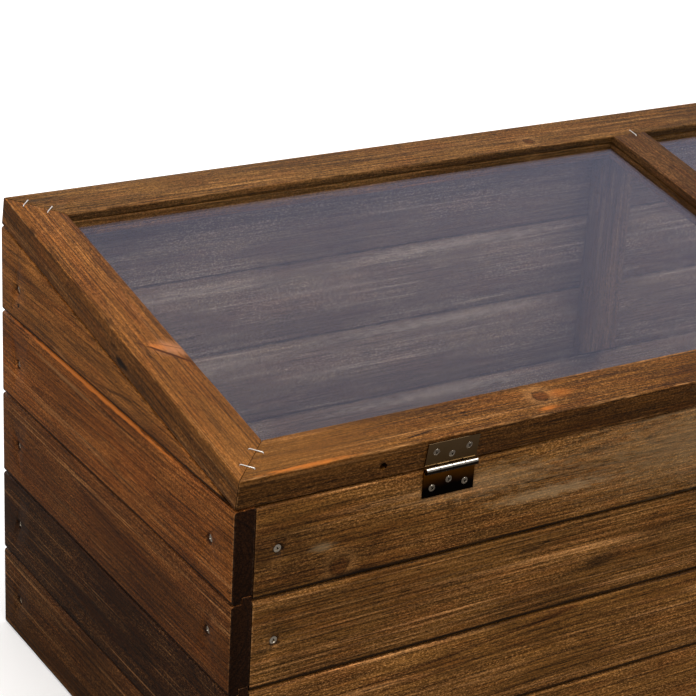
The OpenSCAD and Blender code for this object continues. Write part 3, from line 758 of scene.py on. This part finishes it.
for name in ("front_left_post", "front_right_post", "back_left_post", "back_right_post",
             "front_batten", "back_batten"):
    timber(name, UPRIGHT_AXES, early=stain(92, 74, 58), late=stain(72, 56, 44), wear=0.1,
           pith=(0.2, 0.1, 0.003), streaks=0.05, grain=0.4, contrast=0.8)
print(len(TIMBERS), "timbers")

# %% [markdown]
# ## Worn boards
#
# The CAD boards are as straight as a drawing. Real ones have arrises that the plane, the saw
# and handling have knocked back unevenly, and where two boards meet that makes the dark
# V-shaped seam. Each board is a merged copy of its node: its sharp long edges are bevelled,
# it is sliced across by bisecting, and the points along its arrises are then pushed in by a
# cloud texture. A copy is used because a CAD node's own mesh is never changed.

# %% Workshop helpers
cloud_texture = bpy.data.textures.new("arris_cloud", "CLOUDS")
cloud_texture.noise_scale, cloud_texture.noise_depth = 0.018, 2
SLOTS = {"front_board": "box_wood", "back_board": "box_wood", "left_": "side_wood",
         "right_": "side_wood", "lid_": "lid_wood"}


def only(piece):
    """Make piece the one selected and active object."""
    if bpy.context.object and bpy.context.object.mode != "OBJECT":
        bpy.ops.object.mode_set(mode="OBJECT")
    bpy.ops.object.select_all(action="DESELECT")
    piece.select_set(True)
    bpy.context.view_layer.objects.active = piece


def apply(piece, kind, **settings):
    """Add a modifier to piece with these settings and apply it."""
    only(piece)
    modifier = piece.modifiers.new(kind.lower(), kind)
    for key, value in settings.items():
        setattr(modifier, key, value)
    bpy.ops.object.modifier_apply(modifier=modifier.name)


def slice_across(piece, along, places):
    """Cut the whole mesh across at these distances along an axis."""
    only(piece)
    bpy.ops.object.mode_set(mode="EDIT")
    for place in places:
        bpy.ops.mesh.select_all(action="SELECT")
        bpy.ops.mesh.bisect(plane_co=along * place, plane_no=along)
    bpy.ops.object.mode_set(mode="OBJECT")


def own_copy(source, name):
    """A copy of an object with its own mesh, at the world's middle."""
    piece = bpy.data.objects.new(name, source.data.copy())
    bpy.context.scene.collection.objects.link(piece)
    return piece


def merge(piece):
    """Go to edit mode and merge the points that lie on each other."""
    only(piece)
    bpy.ops.object.mode_set(mode="EDIT")
    bpy.ops.mesh.select_all(action="SELECT")
    bpy.ops.mesh.remove_doubles(threshold=1e-6)


def stand_for(piece, node, body, slot, *finishes):
    """Give piece its finishes; it stands for a CAD node and moves with its body."""
    piece.data.materials.clear()
    for finish in finishes:
        piece.data.materials.append(finish)
    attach(piece, body)
    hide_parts(node)
    return piece


# %% Worn boards
def worn_board(name, step=0.02, arris=0.0009, bite=0.0009):
    """The visual copy of one wooden node, with uneven arrises."""
    material, along = TIMBERS[name]
    piece = own_copy(NODES[name], "worn_" + name)
    merge(piece)
    bpy.ops.mesh.dissolve_limited(angle_limit=math.radians(0.5))
    bpy.ops.mesh.select_all(action="DESELECT")
    bpy.ops.mesh.select_mode(type="EDGE")
    bpy.ops.mesh.edges_select_sharp(sharpness=math.radians(35))
    bpy.ops.object.mode_set(mode="OBJECT")
    points = piece.data.vertices
    for edge in piece.data.edges:
        run = points[edge.vertices[1]].co - points[edge.vertices[0]].co
        edge.select = (edge.select and run.length > 0.03
                       and abs(run.dot(along)) > 0.97 * run.length)
    bpy.ops.object.mode_set(mode="EDIT")
    bpy.ops.mesh.bevel(offset=arris, segments=2, clamp_overlap=False)
    low, high = extent(name, along)
    count = max(2, round((high - low) / step))
    slice_across(piece, along, [low + (high - low) * k / count for k in range(1, count)])
    across = min((Vector((0, 0, 1)), Vector((1, 0, 0)), UP_SLOPE),
                 key=lambda axis: abs(axis.dot(along)))
    sides = [(axis, *extent(name, axis)) for axis in (across, along.cross(across))]
    group = piece.vertex_groups.new(name="arris")
    for point in piece.data.vertices:
        gap = sum(min(point.co.dot(axis) - low, high - point.co.dot(axis))
                  for axis, low, high in sides)
        group.add([point.index], max(0.0, 1 - gap / 0.004), "REPLACE")
    apply(piece, "DISPLACE", texture=cloud_texture, vertex_group="arris", mid_level=1.0,
          strength=bite, texture_coords="LOCAL")
    only(piece)
    bpy.ops.object.shade_smooth_by_angle(angle=math.radians(32))
    slots = [slot for start, slot in SLOTS.items() if name.startswith(start)]
    return stand_for(piece, name, "lid" if name.startswith("lid_") else "box",
                     slots[0] if slots else "frame_wood", material)


worn = {name: worn_board(name) for name in TIMBERS}
print(len(worn), "boards,", sum(len(p.data.polygons) for p in worn.values()), "faces")

# %% [markdown]
# ## Plated steel
#
# The steel parts differ in polish. The hinge is lacquered plate; the box leaf fades from brown
# at its top to black lower down, a painted reflection. The barrel is painted white on its upper
# half and black below, a painted highlight and painted shade, and the hinge screws are bright,
# the wall screws have dulled in their craters and the staples are galvanised wire. One group
# makes smears and fine scratches, and each finish gives it two colours and the heights between
# which one fades into the other.

# %% Steel finishes
plate_marks, w, i, o = new_group(
    "plate_marks", [("Point", "vector"), ("Clean", "color"), ("Dull", "color"),
                    ("Low", "float"), ("High", "float"), ("Ragged", "float")],
    [("Color", "color"), ("Roughness", "float"), ("Height", "float")])
smear = w.noise(i["Point"], (90, 90, 90), 3.0, 0.6)
scratch = w.noise(i["Point"], (500, 4000, 4000), 2.0, 0.7)
level = w.math("ADD", w.split(i["Point"])[2], w.math(
    "MULTIPLY", w.math("SUBTRACT", smear, 0.5), i["Ragged"]))
# The fade by height carries painted light and shade on the barrel and a painted reflection on the
# box leaf.
w.plug(w.mix(w.ease(level, i["Low"], i["High"]), i["Dull"], i["Clean"]), o["Color"])
w.plug(w.math("ADD", w.ease(smear, 0.3, 0.8, 0.07, 0.2),
              w.ease(scratch, 0.6, 0.8, 0.0, 0.12)), o["Roughness"])
w.plug(w.math("ADD", w.math("MULTIPLY", smear, 0.7), w.math("MULTIPLY", scratch, 0.3)),
       o["Height"])


def steel(name, clean, dull, low=-1.0, high=2.0, metal=1.0):
    """Polished or plated steel that fades from the dull colour at low to the clean one at high;
    on the barrel these two are painted shade and a painted highlight, on the box leaf a painted
    reflection.
    """
    material, tree, out = node_material(name)
    wires = Wires(tree)
    where = add(tree, "ShaderNodeTexCoord")
    plate = wires.use(plate_marks, Point=where.outputs["Object"], Clean=clean, Dull=dull,
                      Low=low, High=high, Ragged=(high - low) * 0.4)
    shader = add(tree, "ShaderNodeBsdfPrincipled")
    shader.inputs["Metallic"].default_value = metal
    wires.plug(plate["Color"], shader.inputs["Base Color"])
    wires.plug(plate["Roughness"], shader.inputs["Roughness"])
    bump = add(tree, "ShaderNodeBump")
    bump.inputs["Distance"].default_value = 0.00002
    wires.plug(plate["Height"], bump.inputs["Height"])
    wires.plug(bump.outputs[0], shader.inputs["Normal"])
    wires.plug(shader.outputs[0], out.inputs["Surface"])
    return material


# The hinge axis, in the frame
AXIS_Y, AXIS_Z = -0.2284, 0.331689
lid_plate = steel("lacquered_plate", stain(118, 96, 68), stain(96, 74, 44), 0.33, 0.36)
# The box leaf fades from brown at its top to black below: a painted reflection.
box_plate = steel("blackened_plate", stain(132, 80, 12), stain(12, 8, 5), 0.313, 0.336)
# The barrel's finish: white on its upper half, black below, a painted highlight and painted
# shade.
bright = steel("bright_nickel", stain(226, 220, 208), stain(30, 24, 17), AXIS_Z + 0.0003,
               AXIS_Z + 0.0024)
pin_steel = steel("pin_steel", stain(60, 50, 38), stain(30, 24, 18))
head_steel = steel("bright_heads", stain(186, 178, 166), stain(140, 128, 110))
dulled = steel("dulled_zinc", stain(248, 242, 230), stain(190, 178, 158))
wire = steel("galvanised_wire", stain(252, 250, 246), stain(240, 238, 232), metal=0.35)
print("steel finishes made")

# %% [markdown]
# ## One screw, copied to every place
#
# A screw head is a turned shape, so it starts as a short cylinder whose top face is extruded
# and scaled in rings until it is a dome. The cross recess is cut out with two crossed wedges
# and a boolean. That head is modelled once, lying at the world's middle and facing up.

# %% A screw head
def pick_faces(piece, wanted):
    """Go to edit mode with only those faces selected for which wanted(face) is true."""
    only(piece)
    bpy.ops.object.mode_set(mode="EDIT")
    bpy.ops.mesh.select_mode(type="FACE")
    bpy.ops.mesh.select_all(action="DESELECT")
    bpy.ops.object.mode_set(mode="OBJECT")
    for face in piece.data.polygons:
        face.select = wanted(face)
    bpy.ops.object.mode_set(mode="EDIT")


def recess_wedge(radius, top, turned):
    """One bar of the cross: a block, narrower below, turned about Z."""
    bpy.ops.mesh.primitive_cube_add(size=1, location=(0, 0, top),
                                    scale=(radius * 1.45, radius * 0.36, radius * 0.9))
    wedge = bpy.context.object
    bpy.ops.object.transform_apply(location=True, scale=True)
    pick_faces(wedge, lambda face: face.normal.z < -0.9)
    bpy.ops.transform.resize(value=(0.35, 0.35, 1), center_override=(0, 0, 0))
    bpy.ops.mesh.select_all(action="SELECT")
    bpy.ops.transform.rotate(value=math.radians(turned), orient_axis="Z",
                             center_override=(0, 0, 0))
    bpy.ops.object.mode_set(mode="OBJECT")
    return wedge


def screw_head(name, radius, rim, dome):
    """A cross-recessed head: rim is its height at the edge, dome the height above that."""
    bpy.ops.object.select_all(action="DESELECT")
    bpy.ops.mesh.primitive_cylinder_add(vertices=28, radius=radius, depth=rim * 2,
                                        location=(0, 0, 0))
    head = bpy.context.object
    head.name = name
    pick_faces(head, lambda face: face.normal.z > 0.99)
    for lift, shrink in ((0.35, 0.90), (0.33, 0.82), (0.2, 0.7), (0.12, 0.5)):
        bpy.ops.mesh.extrude_region_move(
            TRANSFORM_OT_translate={"value": (0, 0, dome * lift)})
        bpy.ops.transform.resize(value=(shrink, shrink, 1), center_override=(0, 0, 0))
    bpy.ops.object.mode_set(mode="OBJECT")
    for wedge in [recess_wedge(radius, rim + dome, turned) for turned in (0, 90)]:
        apply(head, "BOOLEAN", operation="DIFFERENCE", object=wedge, solver="EXACT")
        bpy.data.objects.remove(wedge)
    apply(head, "BEVEL", width=radius * 0.03, segments=2, limit_method="ANGLE",
          angle_limit=math.radians(50))
    only(head)
    bpy.ops.object.shade_smooth_by_angle(angle=math.radians(35))
    head["height"] = rim + dome
    return head


wall_head = screw_head("wall_head", radius=0.0038, rim=0.0006, dome=0.0005)
leaf_head = screw_head("leaf_head", radius=0.0035, rim=0.0003, dome=0.0012)
print("screw heads of", len(wall_head.data.polygons), "faces")

# %% [markdown]
# ## Driving the screws
#
# Each screw of the CAD gets its own copy of the head: the CAD node is copied, merged and
# split into its loose pieces to find where each one is. Every copy has its own turn, as
# driven screws have, and the copies of one node are joined into one piece.

# %% Driven screws
def loose_places(name):
    """The points of each loose piece of a CAD node."""
    copy = own_copy(NODES[name], "split")
    merge(copy)
    bpy.ops.mesh.separate(type="LOOSE")
    bpy.ops.object.mode_set(mode="OBJECT")
    found = []
    for part in list(bpy.context.selected_objects):
        found.append([v.co.copy() for v in part.data.vertices])
        bpy.data.objects.remove(part)
    return found


def join_all(copies, name):
    """Join copies into one piece."""
    bpy.ops.object.select_all(action="DESELECT")
    for copy in copies:
        copy.select_set(True)
    bpy.context.view_layer.objects.active = copies[0]
    bpy.ops.object.join()
    bpy.context.object.name = name
    return bpy.context.object


def driven_screws(node, head, outward, body, finish):
    """Copies of one head at every screw of a node, joined into one piece."""
    copies = []
    for points in loose_places(node):
        spans = [[find(p[k] for p in points) for find in (min, max)] for k in range(3)]
        centre = Vector([sum(span) / 2 for span in spans])
        top = max(point.dot(outward) for point in points)
        place = centre + outward * (top - centre.dot(outward) - head["height"])
        copies.append(own_copy(head, "head"))
        copies[-1].data.transform(Matrix.Translation(place)
                                  @ outward.to_track_quat("Z", "Y").to_matrix().to_4x4()
                                  @ Matrix.Rotation(rng.uniform(0, math.pi / 2), 4, "Z"))
    joined = join_all(copies, "driven_" + node)
    print(joined.name, len(copies), "screws")
    return stand_for(joined, node, body, "screw_steel", finish)


for node, outward in (("front_screws", (0, -1, 0)), ("back_screws", (0, 1, 0)),
                      ("left_screws", (-1, 0, 0)), ("right_screws", (1, 0, 0))):
    driven_screws(node, wall_head, Vector(outward), "box", dulled)
driven_screws("hinge_box_screws", leaf_head, Vector((0, -1, 0)), "box", head_steel)
driven_screws("hinge_lid_screws", leaf_head, -UP_SLOPE, "lid", head_steel)
for head in (wall_head, leaf_head):
    bpy.data.objects.remove(head)

# %% [markdown]
# ## The hinge leaves
#
# A butt hinge's leaf is sheet steel, rolled round the pin in knuckles that take turns with
# the other leaf's. It is made as the press makes it: a flat plate is bisected where the
# knuckles part, the top faces of its own knuckles are extruded upward, jogged outward, and
# spun round the pin. The other leaf is the same one turned over. It is modelled at the
# world's middle, with the pin along X and the wood behind it.

# %% Hinge leaves
LEAF_HALF, LEAF_LOW, PLATE_TOP = 0.025, -0.0255, -0.0036
PLATE_OUT, PLATE_IN, ROLL_MIDDLE = 0.0022, 0.0034, 0.0025
KNUCKLE_ENDS, HALF_GAP = (-0.0125, 0, 0.0125), 0.00015
plate_middle = (PLATE_OUT + PLATE_IN) / 2
bpy.ops.object.select_all(action="DESELECT")
bpy.ops.mesh.primitive_cube_add(
    size=1, location=(0, plate_middle, (LEAF_LOW + PLATE_TOP) / 2),
    scale=(LEAF_HALF * 2, PLATE_IN - PLATE_OUT, PLATE_TOP - LEAF_LOW))
leaf = bpy.context.object
bpy.ops.object.transform_apply(location=True, scale=True)
slice_across(leaf, Vector((1, 0, 0)),
             [end + gap for end in KNUCKLE_ENDS for gap in (-HALF_GAP, HALF_GAP)])
first, middle, last = KNUCKLE_ENDS
pick_faces(leaf, lambda face: face.normal.z > 0.9 and (
    face.center.x < first - HALF_GAP or middle + HALF_GAP < face.center.x < last - HALF_GAP))
bpy.ops.mesh.extrude_region_move(TRANSFORM_OT_translate={"value": (0, 0, 0.0021)})
bpy.ops.mesh.extrude_region_move(
    TRANSFORM_OT_translate={"value": (0, ROLL_MIDDLE - plate_middle, 0.0015)})
bpy.ops.mesh.spin(steps=22, angle=math.radians(300), center=(0, 0, 0), axis=(-1, 0, 0))
merge(leaf)
bpy.ops.mesh.normals_make_consistent(inside=False)
apply(leaf, "BEVEL", width=0.00014, segments=2, limit_method="ANGLE",
      angle_limit=math.radians(50))
only(leaf)
bpy.ops.object.shade_smooth_by_angle(angle=math.radians(20))
print("leaf is", [round(side * 1000, 1) for side in leaf.dimensions], "mm")

# %% [markdown]
# ## Pins, and both hinges in place
#
# The pin is a rod with a peened head at each end. Both leaves and the pin are then copied to
# each hinge's place, which is read from the CAD pin, and turned to lie on the wall or on the
# lid's sloping front rail. The faces round the pin get the barrel's finish, painted white above
# and black below: a painted highlight and painted shade.

# %% Hinges
BARREL = 0.0033
bpy.ops.object.select_all(action="DESELECT")
bpy.ops.mesh.primitive_cylinder_add(vertices=24, radius=0.00185, depth=2 * LEAF_HALF,
                                    rotation=(0, math.pi / 2, 0), location=(0, 0, 0))
pin = bpy.context.object
bpy.ops.object.transform_apply(location=True, rotation=True)
for side in (-1, 1):
    pick_faces(pin, lambda face: face.normal.x * side > 0.9)
    for out_by, shrink in ((-0.0004, 0.95), (0.0003, 0.7)):
        bpy.ops.mesh.extrude_region_move(
            TRANSFORM_OT_translate={"value": (side * out_by, 0, 0)})
        bpy.ops.transform.resize(value=(1, shrink, shrink), center_override=(0, 0, 0))
only(pin)
bpy.ops.object.shade_smooth_by_angle(angle=math.radians(35))
for side in ("left", "right"):
    low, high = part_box(f"{side}_hinge_pin")
    at_pin = Matrix.Translation(((low.x + high.x) / 2, AXIS_Y, AXIS_Z))
    over = Matrix.Rotation(SLOPE, 4, "X") @ Matrix.Rotation(math.pi, 4, "Y")
    for body, turned, plate in (("box", Matrix(), box_plate), ("lid", over, lid_plate)):
        made = own_copy(leaf, f"{side}_{body}_leaf")
        made.data.transform(at_pin @ turned)
        stand_for(made, f"{side}_hinge_{body}_leaf", body, "hinge_steel", plate, bright)
        for face, before in zip(made.data.polygons, leaf.data.polygons):
            from_pin = math.hypot(before.center.y, before.center.z)
            face.material_index = int(from_pin < BARREL and before.center.y < PLATE_OUT)
    made = own_copy(pin, f"{side}_pin")
    made.data.transform(at_pin)
    stand_for(made, f"{side}_hinge_pin", "box", "hinge_steel", pin_steel)
    print(side, "hinge at x", round((low.x + high.x) / 2, 4))
for source in (leaf, pin):
    bpy.data.objects.remove(source)

# %% [markdown]
# ## Staples
#
# A staple is one length of wire bent twice. A small circle is extruded up as the first leg,
# spun a quarter turn, extruded along the crown, spun again and extruded down. The first end
# is open after that, so it is filled.

# %% One staple
WIRE, CROWN, LEG, PROUD, BEND = 0.00046, 0.013, 0.011, 0.0009, 0.0011
crown_up, bend_x = PROUD - WIRE, WIRE - CROWN / 2 + BEND
bpy.ops.object.select_all(action="DESELECT")
bpy.ops.mesh.primitive_circle_add(vertices=8, radius=WIRE, fill_type="NGON",
                                  location=(bend_x - BEND, 0, -LEG))
staple = bpy.context.object
bpy.ops.object.transform_apply(location=True)
bpy.ops.object.mode_set(mode="EDIT")
bpy.ops.mesh.select_all(action="SELECT")
for run, corner in (((0, 0, LEG + crown_up - BEND), bend_x), ((-2 * bend_x, 0, 0), -bend_x)):
    bpy.ops.mesh.extrude_region_move(TRANSFORM_OT_translate={"value": run})
    bpy.ops.mesh.spin(steps=5, angle=math.pi / 2, center=(corner, 0, crown_up - BEND),
                      axis=(0, -1, 0))
bpy.ops.mesh.extrude_region_move(
    TRANSFORM_OT_translate={"value": (0, 0, -(LEG + crown_up - BEND))})
merge(staple)
bpy.ops.mesh.select_all(action="DESELECT")
bpy.ops.mesh.select_mode(type="EDGE")
bpy.ops.mesh.select_non_manifold()
bpy.ops.mesh.edge_face_add()
bpy.ops.mesh.select_all(action="SELECT")
bpy.ops.mesh.normals_make_consistent(inside=False)
only(staple)
bpy.ops.object.shade_smooth_by_angle(angle=math.radians(40))
print("staple is", [round(side * 1000, 1) for side in staple.dimensions], "mm")

# %% [markdown]
# ## Staples in place
#
# Each CAD staple gets a copy. The way its crown runs is found as the direction in which its
# points are spread widest, within the plane of the lid.

# %% Staples in place
for node in ("corner_staples", "bar_staples"):
    copies = []
    for points in loose_places(node):
        centre = sum(points, Vector()) / len(points)
        flat = [((p - centre).x, (p - centre).dot(UP_SLOPE)) for p in points]
        spread = [sum(f[a] * f[b] for f in flat) for a, b in ((0, 0), (1, 1), (0, 1))]
        lean = 0.5 * math.atan2(2 * spread[2], spread[0] - spread[1])
        crown = Vector((1, 0, 0)) * math.cos(lean) + UP_SLOPE * math.sin(lean)
        axes = (crown, OFF_LID.cross(crown), OFF_LID)
        spans = [[find(p.dot(axis) for p in points) for find in (min, max)] for axis in axes]
        place = (axes[0] * sum(spans[0]) / 2 + axes[1] * sum(spans[1]) / 2
                 + OFF_LID * (spans[2][1] - PROUD))
        copies.append(own_copy(staple, "staple"))
        copies[-1].data.transform(Matrix.Translation(place)
                                  @ Matrix(axes).transposed().to_4x4())
    joined = join_all(copies, "bent_" + node)
    stand_for(joined, node, "lid", "staple_steel", wire)
    print(joined.name, len(copies), "staples")
bpy.data.objects.remove(staple)

# %% [markdown]
# ## Glazing
#
# The panes are clear acrylic: light passes through them, so the shader sends lamp light
# straight on and keeps real refraction and gloss for everything that the eye sees.

# %% Glazing
acrylic, tree, out = node_material("clear_acrylic")
w = Wires(tree)
where = add(tree, "ShaderNodeTexCoord")
clear = add(tree, "ShaderNodeBsdfPrincipled")
clear.inputs["Transmission Weight"].default_value = 1.0
clear.inputs["IOR"].default_value = 1.49
clear.inputs["Base Color"].default_value = (0.97, 0.985, 0.985, 1)
dust = w.noise(where.outputs["Object"], (16, 16, 16), 3.0)
w.plug(w.ease(dust, 0.3, 0.8, 0.0, 0.05), clear.inputs["Roughness"])
open_air = add(tree, "ShaderNodeBsdfTransparent")
path = add(tree, "ShaderNodeLightPath")
either = add(tree, "ShaderNodeMixShader")
w.plug(path.outputs["Is Shadow Ray"], either.inputs[0])
w.plug(clear.outputs[0], either.inputs[1])
w.plug(open_air.outputs[0], either.inputs[2])
w.plug(either.outputs[0], out.inputs["Surface"])
for name in ("left_pane", "right_pane"):
    NODES[name].data.materials.clear()
    NODES[name].data.materials.append(acrylic)
